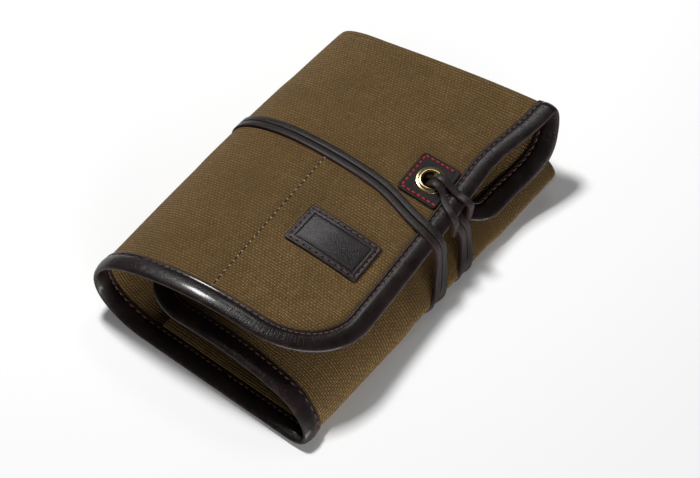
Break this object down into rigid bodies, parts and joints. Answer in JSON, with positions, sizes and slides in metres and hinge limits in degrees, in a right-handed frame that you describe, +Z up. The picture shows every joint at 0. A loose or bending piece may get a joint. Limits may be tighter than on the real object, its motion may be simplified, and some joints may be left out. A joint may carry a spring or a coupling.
{
  "type": "tool roll",
  "caption": "Waxed-canvas tool roll folded in thirds and tied with a doubled leather lace; leather-bound edges, pockets inside, dust flap at the far end.",
  "frame": {"origin": "middle of the roll's footprint, on the table", "axes": "+X from the back fold to the front fold, +Y along the folds from the open near end to the far end, +Z up"},
  "size_m": [0.1786, 0.2756, 0.0638],
  "materials": {
    "waxed_canvas": "matte waxed weave",
    "binding_leather": "glossy",
    "patch_leather": "satin",
    "eyelet_brass": "polished",
    "lace_leather": "satin with raw edges"
  },
  "bodies": {
    "base": {"base_canvas": "waxed_canvas", "base_end_binding": "binding_leather", "base_pocket": "waxed_canvas", "base_dust_flap": "waxed_canvas", "base_dust_binding": "binding_leather", "back_fold_canvas": "waxed_canvas", "back_fold_binding": "binding_leather", "front_fold_canvas": "waxed_canvas", "front_fold_binding": "binding_leather"},
    "top_flap": {"top_flap_canvas": "waxed_canvas", "top_flap_binding": "binding_leather", "top_flap_pocket": "waxed_canvas", "label_patch": "patch_leather", "eyelet_patch": "patch_leather", "eyelet_barrel": "eyelet_brass", "eyelet_washer": "eyelet_brass", "far_fold_canvas": "waxed_canvas", "far_fold_binding": "binding_leather", "tie_lace": "lace_leather"},
    "inner_panel": {"inner_panel_canvas": "waxed_canvas", "inner_panel_binding": "binding_leather", "inner_panel_pocket": "waxed_canvas", "inner_dust_flap": "waxed_canvas", "inner_dust_binding": "binding_leather"},
    "dust_flap": {"dust_flap_canvas": "waxed_canvas", "dust_flap_binding": "binding_leather"}
  },
  "joints": [
    {"name": "top_flap_fold", "type": "hinge", "parent": "base", "child": "top_flap", "pos_m": [-0.0782, 0, 0.0335], "axis": [0, -1, 0], "range_deg": [0, 180], "deforming": ["back_fold_canvas", "back_fold_binding", "tie_lace"]},
    {"name": "inner_panel_fold", "type": "hinge", "parent": "base", "child": "inner_panel", "pos_m": [0.0748, 0, 0.01], "axis": [0, 1, 0], "range_deg": [0, 45], "deforming": ["front_fold_canvas", "front_fold_binding"]},
    {"name": "dust_flap_fold", "type": "hinge", "parent": "top_flap", "child": "dust_flap", "pos_m": [0.0118, 0.1314, 0.044], "axis": [0.9855, 0.0792, 0.1504], "range_deg": [0, 18], "deforming": ["far_fold_canvas", "far_fold_binding"]}
  ],
  "couplings": [
    {"joint": "inner_panel_fold", "follows": "top_flap_fold", "ratio": 0.25},
    {"joint": "dust_flap_fold", "follows": "top_flap_fold", "ratio": 0.1}
  ]
}
